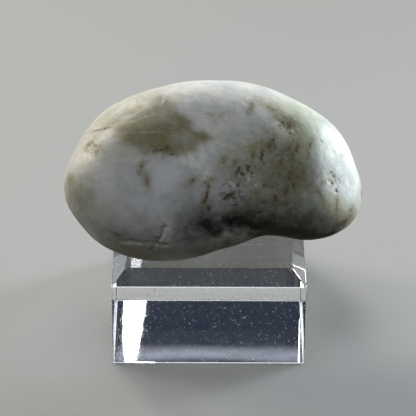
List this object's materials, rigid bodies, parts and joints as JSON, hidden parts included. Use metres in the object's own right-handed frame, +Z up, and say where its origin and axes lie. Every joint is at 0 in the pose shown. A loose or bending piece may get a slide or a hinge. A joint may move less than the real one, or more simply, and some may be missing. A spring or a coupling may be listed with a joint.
{
  "type": "water-worn quartz pebble on a clear display block",
  "caption": "Smooth milky grey-green quartz pebble, kidney-shaped, resting on a square clear acrylic display block with a bevelled top.",
  "frame": {"origin": "centre of the display block's base", "axes": "+Z up; +X to the right along the pebble's long axis, parallel to the block's front edge; +Y to the back, away from the pebble's broad face"},
  "size_m": [0.0701, 0.0492, 0.0643],
  "materials": {
    "milky_quartz": "satin",
    "clear_acrylic": "polished"
  },
  "bodies": {
    "root": {"quartz_pebble": "milky_quartz", "display_block": "clear_acrylic"}
  },
  "joints": []
}
